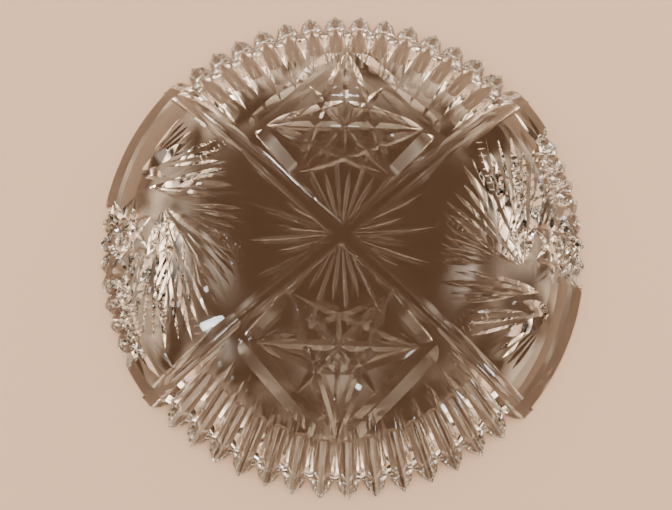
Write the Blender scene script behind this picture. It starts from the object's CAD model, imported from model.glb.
import math

import bpy
from mathutils import Matrix, Vector


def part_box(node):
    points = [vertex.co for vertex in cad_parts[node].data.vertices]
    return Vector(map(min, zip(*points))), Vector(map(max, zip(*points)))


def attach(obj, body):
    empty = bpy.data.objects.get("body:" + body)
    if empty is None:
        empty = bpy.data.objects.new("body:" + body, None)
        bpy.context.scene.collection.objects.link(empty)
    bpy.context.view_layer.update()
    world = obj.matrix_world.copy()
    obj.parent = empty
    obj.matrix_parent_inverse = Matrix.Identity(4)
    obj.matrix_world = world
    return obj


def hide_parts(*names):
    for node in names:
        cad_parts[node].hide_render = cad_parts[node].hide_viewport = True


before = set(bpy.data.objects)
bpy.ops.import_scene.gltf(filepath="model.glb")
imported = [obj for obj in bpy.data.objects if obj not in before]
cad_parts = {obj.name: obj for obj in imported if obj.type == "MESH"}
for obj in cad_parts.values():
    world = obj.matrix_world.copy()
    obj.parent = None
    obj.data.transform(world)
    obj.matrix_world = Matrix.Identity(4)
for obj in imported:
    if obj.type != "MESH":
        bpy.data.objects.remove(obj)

# Cut-glass bowl lying mouth down.  Metres, +Z up, the bowl's axis on Z.
# The blank and the wheel cuts repeat the CAD part's sizes on a much finer mesh, and the short
# fringe cuts beside some leaves are added.

NODE = "cut_glass_bowl"
MM = 0.001
UP = Vector((0, 0, 1))

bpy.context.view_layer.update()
box_low, box_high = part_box(NODE)

# Blank.  The tips beside the Y axis are half a pitch away from it, and the rim is smooth at
# the X axis.
TOOTH_PITCH = 6.4
TEETH_PER_SIDE = 14
TIP_RADIUS = box_high.y / math.cos(math.radians(TOOTH_PITCH / 2.0))
HEIGHT = box_high.z
SMOOTH_RIM_RADIUS = box_high.x
FOOT_RADIUS = 47.5 * MM
HEEL_BLEND = 40.0 * MM
TIP_HEIGHT = 3.0 * MM
WALL = 8.0 * MM
FLOOR_THICKNESS = 8.0 * MM
FLOOR_BLEND = 60.0 * MM
SEGMENTS = 360
# Rings of faces in each stretch of the half section
FOOT_RINGS = 10
HEEL_RINGS = 10
WALL_RINGS = 44
INSIDE_RINGS = 36
BLEND_RINGS = 16
FLOOR_RINGS = 6
# Edges sharper than this stay crisp, in degrees
SHARP_ANGLE = 9.0

# Cutters reach this far beyond the glass, and start this far above it
CLEARANCE = 3.0 * MM
SKIM = 0.05 * MM
MITRE_STEPS = 12
MITRE_RAMPS = (0.4, 0.4)

# Toothed rim, centred on +Y; reaches are fractions of the tip radius
TOOTHED_SIDE = 90.0
NOTCH_DEPTH = 8.2 * MM
# A notch's cutter reaches this many walls out and in, and opens to this multiple of its drop
NOTCH_ABOVE = 2
NOTCH_BELOW = 3
NOTCH_OPENING = 2.5
SPIKE_DEPTH = 2.6 * MM
SPIKE_HALF_ANGLE = 42.0
SPIKE_REACH = 0.76
SPIKE_SLANT = 0.0045
SPIKE_LEAD = 0.02
SPIKE_TRAIL = 0.4
SPIKE_OPENING = 3 * SPIKE_DEPTH
SCALLOP_RADIUS = 6.0 * MM
SCALLOP_INNER = 0.755
SCALLOP_SLANT = 0.0012
SCALLOP_OUTER = 1.03
SCALLOP_INNER_DEPTH = 1.0 * MM
SCALLOP_OUTER_DEPTH = -0.3 * MM
SCALLOP_SIDES = 96
SCALLOP_RINGS = 16
CORNER_TOOTH = 6.0
TRIM_STEPS = 96
TRIM_BEYOND = 10 * MM
TRIM_BELOW = 1 * MM

# Arms, bars and stars; plan positions are fractions of the tip radius
ARM_ANGLE = 49.0
ARM_RADIUS = 5.5 * MM
ARM_DEPTH = 1.1 * MM
FOOT_ARM_SIDES = 72
ARM_RING_REACH = 50.0
ARM_RING_STEPS = 96
ARM_RING_SIDES = 48
STAR_SIDE = (0.285, 0.39)
STAR_FOOT = (0.165, 0.215)
STAR_APEX = (0.0, 0.735)
STAR_INNER_APEX = (0.0, 0.49)
STAR_CROSS = (0.14, 0.56)
STAR_SPINE = ((0.0, 0.25), (0.0, 0.72))
RIB_END = (0.09, 0.475)
STAR_DEPTH = 1.15 * MM
STAR_HALF_ANGLE = 60.0
RIB_DEPTH = 0.65 * MM
STAR_RAMPS = (0.25, 0.25)
STAR_STEPS = 18
RIB_STEPS = 12
BAR_OUTER = (0.345, 0.375)
BAR_TOP = (0.018, 0.742)
BAR_SIDE = (0.325, 0.365)
BAR_FOOT = (0.175, 0.195)
BAR_DEPTH = 1.3 * MM
BAR_HALF_ANGLE = 50.0
BAR_LEAN = 24.0
BAR_RAMPS = (0.12, 0.15)
BAR_STEPS = 20

# Leaf panels
LEAF_HALF_ANGLE = 50.0
LEAF_RAMPS = (0.35, 0.5)
LEAF_STEPS = 14
RAY_DEPTH = 0.9 * MM
RAY_HALF_ANGLE = 45.0
RAY_RAMPS = (0.5, 0.3)
UPPER_FAN = (-0.81, 0.25)
MIDDLE_FAN = (-0.76, 0.18)
LOWER_FAN = (-0.665, 0.10)
CORNER_FAN = (-0.83, -0.37)
FAN_GAP = 0.02
RAY_BEGIN = 0.38
# Fan centre, heading in degrees, length, and depth in millimetres
LEAVES = [(UPPER_FAN, 23.0, 0.235, 2.9), (UPPER_FAN, -14.0, 0.15, 1.8),
          (MIDDLE_FAN, -3.0, 0.39, 1.9), (MIDDLE_FAN, -11.0, 0.33, 1.3),
          (LOWER_FAN, -32.0, 0.34, 1.9), (LOWER_FAN, -57.0, 0.44, 2.1),
          (LOWER_FAN, -74.0, 0.52, 1.7), (LOWER_FAN, -87.0, 0.53, 2.5),
          (LOWER_FAN, -105.0, 0.47, 2.1), (CORNER_FAN, -47.0, 0.23, 1.8),
          (CORNER_FAN, -64.0, 0.20, 1.4)]
# Fan centre, first and last heading, number of rays, and length
RAYS = [(UPPER_FAN, 32.0, 52.0, 4, 0.275), (UPPER_FAN, 1.0, 15.0, 3, 0.36),
        (MIDDLE_FAN, 4.0, 8.0, 2, 0.34), (LOWER_FAN, -24.0, -4.0, 4, 0.31),
        (LOWER_FAN, -51.0, -37.0, 3, 0.38), (LOWER_FAN, -69.0, -63.0, 2, 0.46),
        (LOWER_FAN, -80.0, -78.0, 1, 0.50), (LOWER_FAN, -99.0, -93.0, 2, 0.49),
        (LOWER_FAN, -122.0, -111.0, 3, 0.44)]
# Plan lines along the leaves' sides that short fringe cuts stand on
FRINGED = [((-0.52, 0.25), (-0.385, 0.335)), ((-0.49, -0.005), (-0.36, -0.085)),
           ((-0.555, -0.17), (-0.515, -0.38))]
FRINGE_CUTS = 8
FRINGE_LENGTH = 3.6 * MM
FRINGE_DEPTH = RAY_DEPTH * 0.4
SHORT_STEPS = 6
HOB_CENTRE = 87.5 * MM
HOB_RADIUS = 16.5 * MM
HOB_POINTS = 8
HOB_SKIP = 3
HOB_HUB = 0.45
LADDER_STEPS = 7
LADDER_START = 192.0
LADDER_PITCH = 2.4
LADDER_INNER = 0.81
LADDER_OUTER = 0.96
LADDER_DEPTH = 1.6 * MM
RIM_BUMPS = 8
BUMP_START = 174.0
BUMP_PITCH = 5.0
BUMP_DEPTH = 3.6 * MM
BUMP_OPENING = 0.42
FOOT_STAR_RAYS = 32
FOOT_STAR_LONG = 34.0 * MM
FOOT_STAR_SHORT = 24.0 * MM
FOOT_STAR_GAP = 1.0 * MM
FOOT_STAR_DEPTH = 0.6 * MM
FOOT_STAR_HALF_ANGLE = 56.0
FOOT_STAR_RAMPS = (0.7, 0.3)

# View: place in tip radii, angles in degrees, lens in millimetres
CAMERA_PLACE = (0.0053, -0.3012, 2.2393)
CAMERA_TILT = 6.78
CAMERA_TURN = 5.69
CAMERA_ROLL = -4.01
LENS = 29.2

# Stage
FLOOR_HALF_SIZE = 1.5
FLOOR_GAP = 0.1 * MM
BACKDROP_RADIUS = 1.45
BACKDROP_HEIGHT = 2.0
BACKDROP_SIDES = 96
LIGHT_DISTANCE = 1.3
OVERHEAD_SIZE = (1.3, 1.3)
# Name, azimuth, elevation, size, power and colour of the lights that only the glass shows
SPARKLES = [("left_low", 132.0, 10.0, (0.2, 0.16), 2.0, (1.0, 0.88, 0.70)),
            ("window", 207.5, 39.0, (0.06, 0.42), 2.6, (0.90, 0.95, 1.0)),
            ("far_window", 90.0, 33.0, (0.30, 0.05), 0.8, (0.96, 0.96, 1.0)),
            ("cool_rim", 312.0, 16.0, (0.2, 0.15), 2.4, (0.74, 0.85, 1.0))]
# Azimuth, elevation, tightness, strength and colour of the soft glows round the room
GLOWS = [(270.0, 66.0, 70.0, 3.0, (1.0, 0.80, 0.58)), (270.0, 50.0, 70.0, 3.0, (1.0, 0.80, 0.58)),
         (90.0, 38.0, 40.0, 2.2, (1.0, 0.80, 0.58)), (180.0, 56.0, 150.0, 6.0, (1.0, 0.84, 0.66)),
         (0.0, 56.0, 150.0, 6.0, (1.0, 0.84, 0.66)), (214.0, 34.0, 200.0, 6.0, (1.0, 0.90, 0.72)),
         (175.0, 26.0, 24.0, 1.6, (1.0, 0.86, 0.68)), (5.0, 24.0, 24.0, 0.8, (1.0, 0.88, 0.72))]
# Height above the horizon, from 0 to 1 overhead, and brightness of the room's panels
PANEL_FALL = ((0.2, 1.0), (0.32, 0.45), (0.5, 0.22), (0.66, 0.08), (0.8, 0.02))


def sphere_through(radius_a, height_a, radius_b, height_b):
    """Centre height and radius of the sphere on the axis through two circles."""
    top = radius_a ** 2 + height_a ** 2 - radius_b ** 2 - height_b ** 2
    centre = top / (2.0 * (height_a - height_b))
    return centre, math.hypot(radius_a, height_a - centre)


DOME_CENTRE, DOME_RADIUS = sphere_through(FOOT_RADIUS, HEIGHT, TIP_RADIUS, TIP_HEIGHT)
INNER_RADIUS = DOME_RADIUS - WALL


def blend_radius(dome_radius, top, blend):
    """Distance from the axis at which a blend arc leaves a flat to meet a dome."""
    return math.sqrt((dome_radius - blend) ** 2 - (top - blend - DOME_CENTRE) ** 2)


HEEL_START = blend_radius(DOME_RADIUS, HEIGHT, HEEL_BLEND)
HEEL_END = HEEL_START * DOME_RADIUS / (DOME_RADIUS - HEEL_BLEND)


def on_plan(radius, degrees):
    angle = math.radians(degrees)
    return radius * math.cos(angle), radius * math.sin(angle)


def scaled(point):
    return point[0] * TIP_RADIUS, point[1] * TIP_RADIUS


def mirrored(point):
    return -point[0], point[1]


def surface(x, y):
    """Point of the outer surface above a plan position: flat foot, rounded heel, dome."""
    radius = math.hypot(x, y)
    if radius <= HEEL_START:
        height = HEIGHT
    elif radius <= HEEL_END:
        beyond = radius - HEEL_START
        height = HEIGHT - HEEL_BLEND + math.sqrt(HEEL_BLEND ** 2 - beyond ** 2)
    else:
        height = DOME_CENTRE + math.sqrt(DOME_RADIUS ** 2 - radius ** 2)
    return Vector((x, y, height))


def normal(x, y):
    """Outward normal of the outer surface above a plan position."""
    radius = math.hypot(x, y)
    if radius <= HEEL_START:
        return UP.copy()
    if radius >= HEEL_END:
        return (surface(x, y) - Vector((0, 0, DOME_CENTRE))).normalized()
    lean = math.asin((radius - HEEL_START) / HEEL_BLEND)
    outward = Vector((x, y, 0)) / radius
    return outward * math.sin(lean) + UP * math.cos(lean)


# ---- blank ----

def arc(centre_x, centre_z, radius, start, end, steps):
    """Profile points along an arc, from one angle to another measured from +Z towards +X."""
    points = []
    for i in range(steps + 1):
        angle = start + (end - start) * i / steps
        points.append((centre_x + radius * math.sin(angle), centre_z + radius * math.cos(angle)))
    return points


def profile():
    """Half section of the blank, from the foot's middle round the rim to the inside's middle."""
    floor = HEIGHT - FLOOR_THICKNESS
    floor_radius = blend_radius(INNER_RADIUS, floor, FLOOR_BLEND)
    blend_end = math.asin(floor_radius / (INNER_RADIUS - FLOOR_BLEND))
    heel_end = math.asin(HEEL_END / DOME_RADIUS)
    tip = math.asin(TIP_RADIUS / DOME_RADIUS)
    rim_inside = math.acos(-DOME_CENTRE / INNER_RADIUS)
    foot = [(HEEL_START * i / FOOT_RINGS, HEIGHT) for i in range(FOOT_RINGS)]
    heel = arc(HEEL_START, HEIGHT - HEEL_BLEND, HEEL_BLEND, 0.0, heel_end, HEEL_RINGS)
    outside = arc(0.0, DOME_CENTRE, DOME_RADIUS, heel_end, tip, WALL_RINGS)
    inside = arc(0.0, DOME_CENTRE, INNER_RADIUS, rim_inside, blend_end, INSIDE_RINGS)
    blend = arc(floor_radius, floor - FLOOR_BLEND, FLOOR_BLEND, blend_end, 0.0, BLEND_RINGS)
    middle = [(floor_radius * (1.0 - i / FLOOR_RINGS), floor) for i in range(1, FLOOR_RINGS + 1)]
    return foot + heel + outside[1:] + [(TIP_RADIUS, 0.0)] + inside + blend[1:] + middle


def revolve(points, segments):
    """Closed mesh from a half section whose first and last points are on the axis."""
    verts = []
    for radius, height in points[1:-1]:
        for i in range(segments):
            angle = 2.0 * math.pi * i / segments
            verts.append((radius * math.cos(angle), radius * math.sin(angle), height))
    rings = len(points) - 2
    first = len(verts)
    verts.append((0.0, 0.0, points[0][1]))
    verts.append((0.0, 0.0, points[-1][1]))
    faces = []
    for i in range(segments):
        j = (i + 1) % segments
        faces.append((first, i, j))
        last = (rings - 1) * segments
        faces.append((first + 1, last + j, last + i))
        for k in range(rings - 1):
            low, high = k * segments, (k + 1) * segments
            faces.append((low + i, high + i, high + j, low + j))
    return verts, faces


# ---- cutters: each is a closed (verts, faces) pair ----

def wedge(keel, opening, across, half_angle, height):
    """V-shaped cutter along a keel line, opening one way."""
    spread = height * math.tan(math.radians(half_angle))
    verts = []
    for point in keel:
        top = point + opening * height
        verts += [point, top - across * spread, top + across * spread]
    last = 3 * (len(keel) - 1)
    faces = [(0, 1, 2), (last, last + 2, last + 1)]
    for i in range(0, last, 3):
        faces.append((i, i + 3, i + 4, i + 1))
        faces.append((i, i + 2, i + 5, i + 3))
        faces.append((i + 1, i + 4, i + 5, i + 2))
    return verts, faces


def mitre(start, end, depth, half_angle, steps=MITRE_STEPS, ramps=MITRE_RAMPS, lean=0.0):
    """A mitre cut on the outside between two plan positions, running out at both ends.
    A lean turns the cut over sideways, so that one of its faces is wide and the other steep."""
    opening = normal((start[0] + end[0]) / 2.0, (start[1] + end[1]) / 2.0)
    keel = []
    for i in range(steps + 1):
        t = i / steps
        x = start[0] + (end[0] - start[0]) * t
        y = start[1] + (end[1] - start[1]) * t
        rise = min(1.0, t / ramps[0], (1.0 - t) / ramps[1])
        sunk = depth * math.sin(rise * math.pi / 2.0)
        keel.append(surface(x, y) - opening * (sunk - SKIM))
    along = (keel[-1] - keel[0]).normalized()
    across = opening.cross(along).normalized()
    opening = along.cross(across).normalized()
    turn = Matrix.Rotation(math.radians(lean), 3, along)
    return wedge(keel, turn @ opening, turn @ across, half_angle, depth + CLEARANCE)


def tube(centres, sides, radii, turn):
    """Closed round tube through centres; turn gives the section's two axes at each one."""
    verts = []
    for i, centre in enumerate(centres):
        first, second = turn(i)
        for k in range(sides):
            angle = 2.0 * math.pi * k / sides
            verts.append(centre + (first * math.cos(angle) + second * math.sin(angle)) * radii[i])
    count = len(centres)
    faces = [tuple(range(sides - 1, -1, -1)),
             tuple(range((count - 1) * sides, count * sides))]
    for i in range(count - 1):
        for k in range(sides):
            m = (k + 1) % sides
            faces.append((i * sides + k, i * sides + m, (i + 1) * sides + m, (i + 1) * sides + k))
    return verts, faces


def hollow(start, end, radius, depth):
    """A round-bottomed cutter along the line that touches the glass midway between two
    plan positions, sunk by the depth there."""
    middle = ((start[0] + end[0]) / 2.0, (start[1] + end[1]) / 2.0)
    outward = normal(*middle)
    along = surface(*end) - surface(*start)
    centre = surface(*middle) + outward * (radius - depth)
    across = along.cross(outward).normalized()
    second = along.normalized().cross(across)
    return tube([centre - along * 0.5, centre + along * 0.5], FOOT_ARM_SIDES,
                [radius, radius], lambda i: (across, second))


def scallop(offset):
    """Round-ended hollow above a tooth, out through the rim."""
    angle = TOOTHED_SIDE + offset
    x, y = on_plan(TIP_RADIUS * (SCALLOP_INNER - SCALLOP_SLANT * abs(offset)), angle)
    inner = surface(x, y) + normal(x, y) * (SCALLOP_RADIUS - SCALLOP_INNER_DEPTH)
    x, y = on_plan(TIP_RADIUS * SCALLOP_OUTER, angle)
    outer = surface(x, y) + normal(x, y) * (SCALLOP_RADIUS - SCALLOP_OUTER_DEPTH)
    along = (outer - inner).normalized()
    across = Vector((-y, x, 0)).normalized()
    second = along.cross(across)
    centres, sizes = [], []
    for i in range(1, SCALLOP_RINGS + 1):
        angle = math.pi / 2.0 * (1.0 - i / SCALLOP_RINGS)
        centres.append(inner - along * SCALLOP_RADIUS * math.sin(angle))
        sizes.append(SCALLOP_RADIUS * math.cos(angle))
    centres.append(outer)
    sizes.append(SCALLOP_RADIUS)
    return tube(centres, SCALLOP_SIDES, sizes, lambda i: (across, second))


def arm_ring(angle):
    """Part of a ring about the dome's centre that cuts two opposite arms down the wall."""
    x, y = on_plan(1.0, angle)
    outward = Vector((x, y, 0))
    across = Vector((y, -x, 0))
    radius = DOME_RADIUS + ARM_RADIUS - ARM_DEPTH
    reach = math.radians(ARM_RING_REACH)
    angles = [-reach + 2.0 * reach * i / ARM_RING_STEPS for i in range(ARM_RING_STEPS + 1)]
    spokes = [outward * math.sin(a) + UP * math.cos(a) for a in angles]
    centres = [spoke * radius + UP * DOME_CENTRE for spoke in spokes]
    return tube(centres, ARM_RING_SIDES, [ARM_RADIUS] * len(centres),
                lambda i: (across, spokes[i]))


def notch(angle, valley_radius, tip_radius, half_width):
    """A V notch right through the rim, square to the wall, between two teeth."""
    x, y = on_plan(valley_radius, angle)
    through = normal(x, y)
    across = Vector((-y, x, 0)).normalized()
    outward = across.cross(through).normalized()
    apex = surface(x, y)
    drop = (surface(*on_plan(tip_radius, angle)) - apex).length
    half_angle = math.degrees(math.atan2(half_width, drop))
    keel = [apex + through * NOTCH_ABOVE * WALL, apex - through * NOTCH_BELOW * WALL]
    return wedge(keel, outward, across, half_angle, NOTCH_OPENING * drop)


def spike(offset):
    """Mitre that climbs from a notch, shorter towards the star's apex."""
    angle = TOOTHED_SIDE + offset
    inner = surface(*on_plan(TIP_RADIUS * (SPIKE_REACH - SPIKE_SLANT * abs(offset)), angle))
    x, y = on_plan(TIP_RADIUS - NOTCH_DEPTH, angle)
    outer = surface(x, y) - normal(x, y) * SPIKE_DEPTH
    along = outer - inner
    across = Vector((-y, x, 0)).normalized()
    opening = along.cross(across).normalized()
    keel = [inner - along * SPIKE_LEAD, outer + along * SPIKE_TRAIL]
    return wedge(keel, opening, across, SPIKE_HALF_ANGLE, SPIKE_OPENING)


def toothed_rim():
    """Notches with a spike above each, and a scallop above each tooth, centred on +Y."""
    cuts = []
    half_width = TIP_RADIUS * math.radians(TOOTH_PITCH) / 2.0
    for i in range(TEETH_PER_SIDE + 1):
        offset = (i - TEETH_PER_SIDE / 2.0) * TOOTH_PITCH
        cuts.append(notch(TOOTHED_SIDE + offset, TIP_RADIUS - NOTCH_DEPTH, TIP_RADIUS,
                          half_width))
        cuts.append(spike(offset))
    for i in range(TEETH_PER_SIDE):
        cuts.append(scallop((i + 0.5 - TEETH_PER_SIDE / 2.0) * TOOTH_PITCH))
    return cuts


def arms():
    """Four hollow arms from the middle of the foot, down the wall to the rim's corners."""
    cuts = []
    for angle in (TOOTHED_SIDE + ARM_ANGLE, TOOTHED_SIDE - ARM_ANGLE):
        x, y = on_plan(FOOT_RADIUS, angle)
        cuts.append(hollow((-x, -y), (x, y), ARM_RADIUS, ARM_DEPTH))
        cuts.append(arm_ring(angle))
    return cuts


def star_panel():
    """The five-pointed star between its four bars, on the +Y side."""
    lines = [(STAR_SIDE, mirrored(STAR_SIDE))]
    ribs = [STAR_SPINE]
    bars = []
    for side in (1, -1):
        def place(point):
            return point[0] * side, point[1]
        lines += [(place(STAR_SIDE), place(mirrored(STAR_FOOT))), (place(STAR_FOOT), STAR_APEX),
                  (place(STAR_FOOT), place(mirrored(STAR_CROSS))),
                  (place(STAR_SIDE), STAR_INNER_APEX)]
        ribs.append((place(STAR_FOOT), place(mirrored(RIB_END))))
        bars += [(place(BAR_OUTER), place(BAR_TOP), side * BAR_LEAN),
                 (place(BAR_SIDE), place(BAR_FOOT), side * BAR_LEAN)]
    cuts = []
    for start, end in lines:
        cuts.append(mitre(scaled(start), scaled(end), STAR_DEPTH, STAR_HALF_ANGLE,
                          STAR_STEPS, STAR_RAMPS))
    for start, end in ribs:
        cuts.append(mitre(scaled(start), scaled(end), RIB_DEPTH, STAR_HALF_ANGLE, RIB_STEPS,
                          STAR_RAMPS))
    for start, end, lean in bars:
        cuts.append(mitre(scaled(start), scaled(end), BAR_DEPTH, BAR_HALF_ANGLE,
                          BAR_STEPS, BAR_RAMPS, lean))
    return cuts


def from_fan(centre, heading, begin, length):
    """End points of a cut that lies on a line through a fan's centre."""
    x, y = on_plan(1.0, heading)
    start = scaled((centre[0] + x * begin, centre[1] + y * begin))
    return start, scaled((centre[0] + x * length, centre[1] + y * length))


def fans():
    """Leaves and thin rays spreading from four fan centres, on the -X side."""
    cuts = []
    for centre, heading, length, depth in LEAVES:
        start, end = from_fan(centre, heading, FAN_GAP, length)
        cuts.append(mitre(start, end, depth * MM, LEAF_HALF_ANGLE, LEAF_STEPS, LEAF_RAMPS))
    for centre, first, last, count, length in RAYS:
        for i in range(count):
            heading = first + (last - first) * i / max(1, count - 1)
            start, end = from_fan(centre, heading, RAY_BEGIN * length, length)
            cuts.append(mitre(start, end, RAY_DEPTH, RAY_HALF_ANGLE, MITRE_STEPS, RAY_RAMPS))
    return cuts


def fringes():
    """Short fine cuts down one side of a leaf."""
    cuts = []
    for start, end in FRINGED:
        x0, y0 = scaled(start)
        x1, y1 = scaled(end)
        length = math.hypot(x1 - x0, y1 - y0)
        side = ((y0 - y1) / length * FRINGE_LENGTH, (x1 - x0) / length * FRINGE_LENGTH)
        for i in range(FRINGE_CUTS):
            t = (i + 0.5) / FRINGE_CUTS
            x, y = x0 + (x1 - x0) * t, y0 + (y1 - y0) * t
            cuts.append(mitre((x, y), (x + side[0], y + side[1]), FRINGE_DEPTH,
                              RAY_HALF_ANGLE, SHORT_STEPS))
    return cuts


def hobstar():
    """Eight-pointed star of crossing chords beside the rim, on the -X side."""
    cuts = []
    point_step = 360.0 / HOB_POINTS
    for i in range(HOB_POINTS):
        ends = []
        for corner in (i, i + HOB_SKIP):
            x, y = on_plan(HOB_RADIUS, (corner + 0.5) * point_step)
            ends.append((x - HOB_CENTRE, y))
        cuts.append(mitre(ends[0], ends[1], STAR_DEPTH, STAR_HALF_ANGLE))
        x, y = on_plan(HOB_RADIUS * HOB_HUB, i * point_step)
        cuts.append(mitre((-HOB_CENTRE, 0), (x - HOB_CENTRE, y), RAY_DEPTH, RAY_HALF_ANGLE,
                          SHORT_STEPS))
    return cuts


def ladder():
    """Short steps beside the hobstar and shallow notches in the rim outside it."""
    cuts = []
    for i in range(LADDER_STEPS):
        angle = LADDER_START + i * LADDER_PITCH
        cuts.append(mitre(on_plan(TIP_RADIUS * LADDER_INNER, angle),
                          on_plan(TIP_RADIUS * LADDER_OUTER, angle), LADDER_DEPTH,
                          LEAF_HALF_ANGLE))
    half_width = SMOOTH_RIM_RADIUS * math.radians(BUMP_PITCH) * BUMP_OPENING
    for i in range(RIM_BUMPS):
        cuts.append(notch(BUMP_START + i * BUMP_PITCH, SMOOTH_RIM_RADIUS - BUMP_DEPTH,
                          SMOOTH_RIM_RADIUS, half_width))
    return cuts


def foot_star():
    """Rays of two lengths under the foot."""
    cuts = []
    for i in range(FOOT_STAR_RAYS):
        angle = (i + 0.5) * 360.0 / FOOT_STAR_RAYS
        length = FOOT_STAR_SHORT if i % 2 else FOOT_STAR_LONG
        cuts.append(mitre(on_plan(FOOT_STAR_GAP, angle), on_plan(length, angle),
                          FOOT_STAR_DEPTH, FOOT_STAR_HALF_ANGLE, MITRE_STEPS,
                          FOOT_STAR_RAMPS))
    return cuts


def smooth_side():
    """Ring sector that trims the untoothed rim on the -X side."""
    half = 90.0 - TEETH_PER_SIDE / 2.0 * TOOTH_PITCH - CORNER_TOOTH
    verts = []
    for i in range(TRIM_STEPS + 1):
        angle = 180.0 - half + 2.0 * half * i / TRIM_STEPS
        for radius in (SMOOTH_RIM_RADIUS, TIP_RADIUS + TRIM_BEYOND):
            x, y = on_plan(radius, angle)
            verts += [Vector((x, y, -TRIM_BELOW)), Vector((x, y, HEIGHT))]
    last = 4 * TRIM_STEPS
    faces = [(0, 1, 3, 2), (last + 2, last + 3, last + 1, last)]
    for i in range(0, last, 4):
        faces += [(i, i + 4, i + 5, i + 1), (i + 2, i + 3, i + 7, i + 6),
                  (i + 1, i + 5, i + 7, i + 3), (i, i + 2, i + 6, i + 4)]
    return [(verts, faces)]


# ---- cutting ----

def turned(cutter):
    """The same cutter after half a turn about the bowl's axis."""
    verts, faces = cutter
    return [Vector((-v[0], -v[1], v[2])) for v in verts], faces


def all_cutters():
    half = smooth_side() + toothed_rim() + star_panel() + fans() + fringes() + hobstar() + ladder()
    return arms() + foot_star() + half + [turned(cutter) for cutter in half]


def limits(cutter):
    """Low and high corners of a cutter's box."""
    verts = cutter[0]
    low = [min(v[k] for v in verts) for k in range(3)]
    high = [max(v[k] for v in verts) for k in range(3)]
    return low, high


def apart(a, b):
    """True where two boxes don't meet."""
    return any(a[1][k] < b[0][k] or b[1][k] < a[0][k] for k in range(3))


def batches(cutters):
    """Groups of cutters whose boxes don't meet, so that each group is one clean mesh."""
    groups = []
    for cutter in cutters:
        box = limits(cutter)
        for group in groups:
            if all(apart(box, other) for other, _ in group):
                group.append((box, cutter))
                break
        else:
            groups.append([(box, cutter)])
    return [[cutter for _, cutter in group] for group in groups]


def mesh_object(name, verts, faces):
    mesh = bpy.data.meshes.new(name)
    mesh.from_pydata([tuple(v) for v in verts], [], faces)
    mesh.validate()
    obj = bpy.data.objects.new(name, mesh)
    bpy.context.scene.collection.objects.link(obj)
    return obj


def signed_volume(verts, faces):
    total = 0.0
    for face in faces:
        for i in range(1, len(face) - 1):
            a, b, c = (Vector(verts[face[k]]) for k in (0, i, i + 1))
            total += a.dot(b.cross(c)) / 6.0
    return total


def joined(group):
    """One mesh's vertices and faces from several cutters, all facing outwards."""
    verts, faces = [], []
    for cutter_verts, cutter_faces in group:
        first = len(verts)
        inward = signed_volume(cutter_verts, cutter_faces) < 0
        verts += cutter_verts
        for face in cutter_faces:
            loop = tuple(first + k for k in face)
            faces.append(loop[::-1] if inward else loop)
    return verts, faces


def cut(blank, cutters):
    """Subtracts the cutters from the blank, group by group, and applies the result."""
    tools = []
    for group in batches(cutters):
        tool = mesh_object("cutter", *joined(group))
        modifier = blank.modifiers.new("cut", "BOOLEAN")
        modifier.operation = "DIFFERENCE"
        modifier.solver = "MANIFOLD"
        modifier.object = tool
        tools.append(tool)
    graph = bpy.context.evaluated_depsgraph_get()
    mesh = bpy.data.meshes.new_from_object(blank.evaluated_get(graph))
    blank.modifiers.clear()
    blank.data = mesh
    for tool in tools:
        bpy.data.objects.remove(tool)


def glass_bowl():
    verts, faces = revolve(profile(), SEGMENTS)
    if signed_volume(verts, faces) < 0:
        faces = [face[::-1] for face in faces]
    bowl = mesh_object("crystal_bowl", verts, faces)
    cut(bowl, all_cutters())
    bowl.data.shade_smooth()
    bowl.data.set_sharp_from_angle(angle=math.radians(SHARP_ANGLE))
    bowl.data.materials.clear()
    bowl.data.materials.append(crystal())
    return bowl


# ---- materials ----

def crystal():
    """Clear lead crystal: polished, faintly uneven, with slight smudges."""
    material = bpy.data.materials.new("lead_crystal")
    material.use_nodes = True
    nodes, links = material.node_tree.nodes, material.node_tree.links
    shader = nodes["Principled BSDF"]
    shader.inputs["Base Color"].default_value = (0.985, 0.99, 0.985, 1.0)
    shader.inputs["Transmission Weight"].default_value = 1.0
    shader.inputs["IOR"].default_value = 1.545
    place = nodes.new("ShaderNodeTexCoord")
    waves = nodes.new("ShaderNodeTexNoise")
    waves.inputs["Scale"].default_value = 60.0
    waves.inputs["Detail"].default_value = 2.0
    bump = nodes.new("ShaderNodeBump")
    bump.inputs["Strength"].default_value = 0.04
    bump.inputs["Distance"].default_value = 0.002
    links.new(place.outputs["Object"], waves.inputs["Vector"])
    links.new(waves.outputs["Fac"], bump.inputs["Height"])
    links.new(bump.outputs["Normal"], shader.inputs["Normal"])
    smudge = nodes.new("ShaderNodeTexNoise")
    smudge.inputs["Scale"].default_value = 35.0
    smudge.inputs["Detail"].default_value = 6.0
    level = nodes.new("ShaderNodeMapRange")
    level.inputs["From Min"].default_value = 0.45
    level.inputs["From Max"].default_value = 0.8
    level.inputs["To Min"].default_value = 0.0
    level.inputs["To Max"].default_value = 0.06
    links.new(place.outputs["Object"], smudge.inputs["Vector"])
    links.new(smudge.outputs["Fac"], level.inputs["Value"])
    links.new(level.outputs["Result"], shader.inputs["Roughness"])
    return material


def floor_material():
    material = bpy.data.materials.new("pale_floor")
    material.use_nodes = True
    nodes, links = material.node_tree.nodes, material.node_tree.links
    shader = nodes["Principled BSDF"]
    shader.inputs["Roughness"].default_value = 0.6
    noise = nodes.new("ShaderNodeTexNoise")
    noise.inputs["Scale"].default_value = 4.0
    ramp = nodes.new("ShaderNodeValToRGB")
    ramp.color_ramp.elements[0].color = (0.64, 0.48, 0.36, 1.0)
    ramp.color_ramp.elements[1].color = (0.70, 0.55, 0.43, 1.0)
    links.new(noise.outputs["Fac"], ramp.inputs["Fac"])
    links.new(ramp.outputs["Color"], shader.inputs["Base Color"])
    return material


# ---- stage ----

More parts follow.
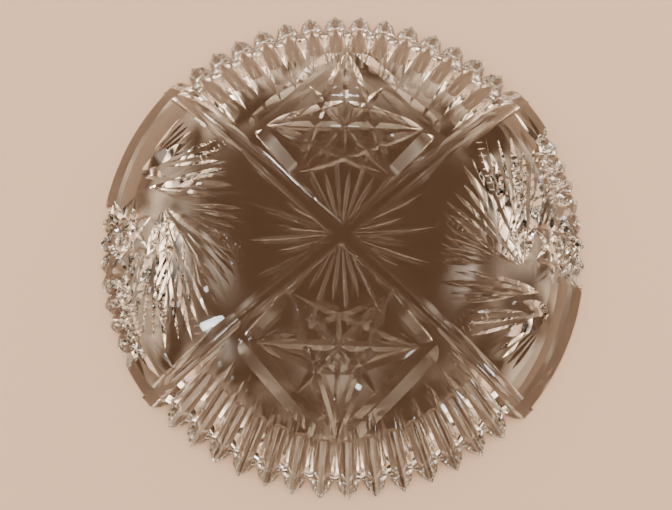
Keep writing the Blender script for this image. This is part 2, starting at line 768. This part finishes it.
def floor():
    half = FLOOR_HALF_SIZE
    verts = [(-half, -half, 0), (half, -half, 0), (half, half, 0), (-half, half, 0)]
    obj = mesh_object("floor", verts, [(0, 1, 2, 3)])
    obj.location.z = box_low.z - FLOOR_GAP
    obj.data.materials.append(floor_material())


def backdrop():
    """Plain pale wall round the floor, which only the camera sees."""
    verts, faces = [], []
    for k in range(BACKDROP_SIDES):
        x, y = on_plan(BACKDROP_RADIUS, k * 360.0 / BACKDROP_SIDES)
        verts += [(x, y, 0), (x, y, BACKDROP_HEIGHT)]
        after = (k + 1) % BACKDROP_SIDES
        faces.append((2 * k, 2 * after, 2 * after + 1, 2 * k + 1))
    obj = mesh_object("backdrop", verts, faces)
    obj.visible_diffuse = False
    obj.visible_glossy = False
    obj.visible_transmission = False
    obj.visible_shadow = False
    material = bpy.data.materials.new("pale_wall")
    material.use_nodes = True
    shader = material.node_tree.nodes["Principled BSDF"]
    shader.inputs["Base Color"].default_value = (0.0, 0.0, 0.0, 1.0)
    shader.inputs["Specular IOR Level"].default_value = 0.0
    shader.inputs["Emission Color"].default_value = (0.80, 0.66, 0.55, 1.0)
    shader.inputs["Emission Strength"].default_value = 1.0
    obj.data.materials.append(material)


def softbox(name, azimuth, elevation, size, power, colour):
    """A rectangular light that faces the bowl from a direction given in degrees."""
    data = bpy.data.lights.new(name, "AREA")
    data.shape = "RECTANGLE"
    data.size, data.size_y = size
    data.energy = power
    data.color = colour
    obj = bpy.data.objects.new(name, data)
    bpy.context.scene.collection.objects.link(obj)
    x, y = on_plan(LIGHT_DISTANCE * math.cos(math.radians(elevation)), azimuth)
    obj.location = (x, y, LIGHT_DISTANCE * math.sin(math.radians(elevation)))
    obj.rotation_euler = (-obj.location).to_track_quat("-Z", "Y").to_euler()
    return obj


def lights():
    """Two broad overhead lights, one of them without a shadow, and the small ones."""
    key = softbox("key", 80.0, 82.0, OVERHEAD_SIZE, 15.0, (1.0, 0.93, 0.85))
    fill = softbox("fill", 80.0, 80.0, OVERHEAD_SIZE, 14.0, (1.0, 0.62, 0.41))
    fill.data.use_shadow = False
    for overhead in (key, fill):
        overhead.visible_glossy = False
        overhead.visible_transmission = False
    for name, azimuth, elevation, size, power, colour in SPARKLES:
        softbox(name, azimuth, elevation, size, power, colour).visible_diffuse = False


def brighter_low(nodes, links, direction):
    """Factor that is greatest a little above the horizon and low overhead."""
    height = nodes.new("ShaderNodeSeparateXYZ")
    ramp = nodes.new("ShaderNodeValToRGB")
    first, last = ramp.color_ramp.elements
    first.color, last.color = (1.0, 1.0, 1.0, 1.0), (0.0, 0.0, 0.0, 1.0)
    for position, value in PANEL_FALL:
        ramp.color_ramp.elements.new(position).color = (value, value, value, 1.0)
    links.new(direction, height.inputs[0])
    links.new(height.outputs["Z"], ramp.inputs["Fac"])
    return ramp.outputs["Color"]


def glow(nodes, links, direction, azimuth, elevation, tightness):
    """Factor that is one in a direction and falls off smoothly around it."""
    x, y = on_plan(math.cos(math.radians(elevation)), azimuth)
    facing = nodes.new("ShaderNodeVectorMath")
    facing.operation = "DOT_PRODUCT"
    facing.inputs[1].default_value = (x, y, math.sin(math.radians(elevation)))
    above = nodes.new("ShaderNodeMath")
    above.operation = "MAXIMUM"
    above.inputs[1].default_value = 0.0
    narrowed = nodes.new("ShaderNodeMath")
    narrowed.operation = "POWER"
    narrowed.inputs[1].default_value = tightness
    links.new(direction, facing.inputs[0])
    links.new(facing.outputs["Value"], above.inputs[0])
    links.new(above.outputs["Value"], narrowed.inputs[0])
    return narrowed.outputs["Value"]


def room():
    """Soft studio surroundings: broad bright panels between darker gaps, and soft glows."""
    world = bpy.data.worlds.new("room")
    bpy.context.scene.world = world
    world.use_nodes = True
    nodes, links = world.node_tree.nodes, world.node_tree.links
    direction = nodes.new("ShaderNodeTexCoord").outputs["Generated"]
    panels = nodes.new("ShaderNodeTexNoise")
    panels.inputs["Scale"].default_value = 4.0
    panels.inputs["Detail"].default_value = 1.0
    ramp = nodes.new("ShaderNodeValToRGB")
    ramp.color_ramp.elements[0].position = 0.42
    ramp.color_ramp.elements[0].color = (0.03, 0.015, 0.01, 1.0)
    ramp.color_ramp.elements[1].position = 0.56
    ramp.color_ramp.elements[1].color = (5.2, 3.8, 2.6, 1.0)
    links.new(direction, panels.inputs["Vector"])
    links.new(panels.outputs["Fac"], ramp.inputs["Fac"])
    low = nodes.new("ShaderNodeVectorMath")
    low.operation = "MULTIPLY"
    links.new(ramp.outputs["Color"], low.inputs[0])
    links.new(brighter_low(nodes, links, direction), low.inputs[1])
    total = low.outputs["Vector"]
    for azimuth, elevation, tightness, strength, colour in GLOWS:
        added = nodes.new("ShaderNodeVectorMath")
        added.operation = "MULTIPLY_ADD"
        added.inputs[0].default_value = [channel * strength for channel in colour]
        links.new(glow(nodes, links, direction, azimuth, elevation, tightness), added.inputs[1])
        links.new(total, added.inputs[2])
        total = added.outputs["Vector"]
    links.new(total, nodes["Background"].inputs["Color"])


def camera():
    data = bpy.data.cameras.new("camera")
    data.lens = LENS
    obj = bpy.data.objects.new("camera", data)
    bpy.context.scene.collection.objects.link(obj)
    turn = Matrix.Rotation(math.radians(CAMERA_TURN), 4, "Z")
    tilt = Matrix.Rotation(math.radians(CAMERA_TILT), 4, "X")
    roll = Matrix.Rotation(math.radians(CAMERA_ROLL), 4, "Z")
    place = Matrix.Translation(Vector(CAMERA_PLACE) * TIP_RADIUS)
    obj.matrix_world = place @ turn @ tilt @ roll
    bpy.context.scene.camera = obj


def light_paths():
    """Enough bounces for light to cross the wall several times, and no caustics."""
    cycles = bpy.context.scene.cycles
    cycles.max_bounces = 24
    cycles.transmission_bounces = 20
    cycles.glossy_bounces = 10
    cycles.caustics_refractive = False
    cycles.caustics_reflective = False


camera()
bowl = glass_bowl()
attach(bowl, "root")
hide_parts(NODE)
floor()
backdrop()
lights()
room()
light_paths()
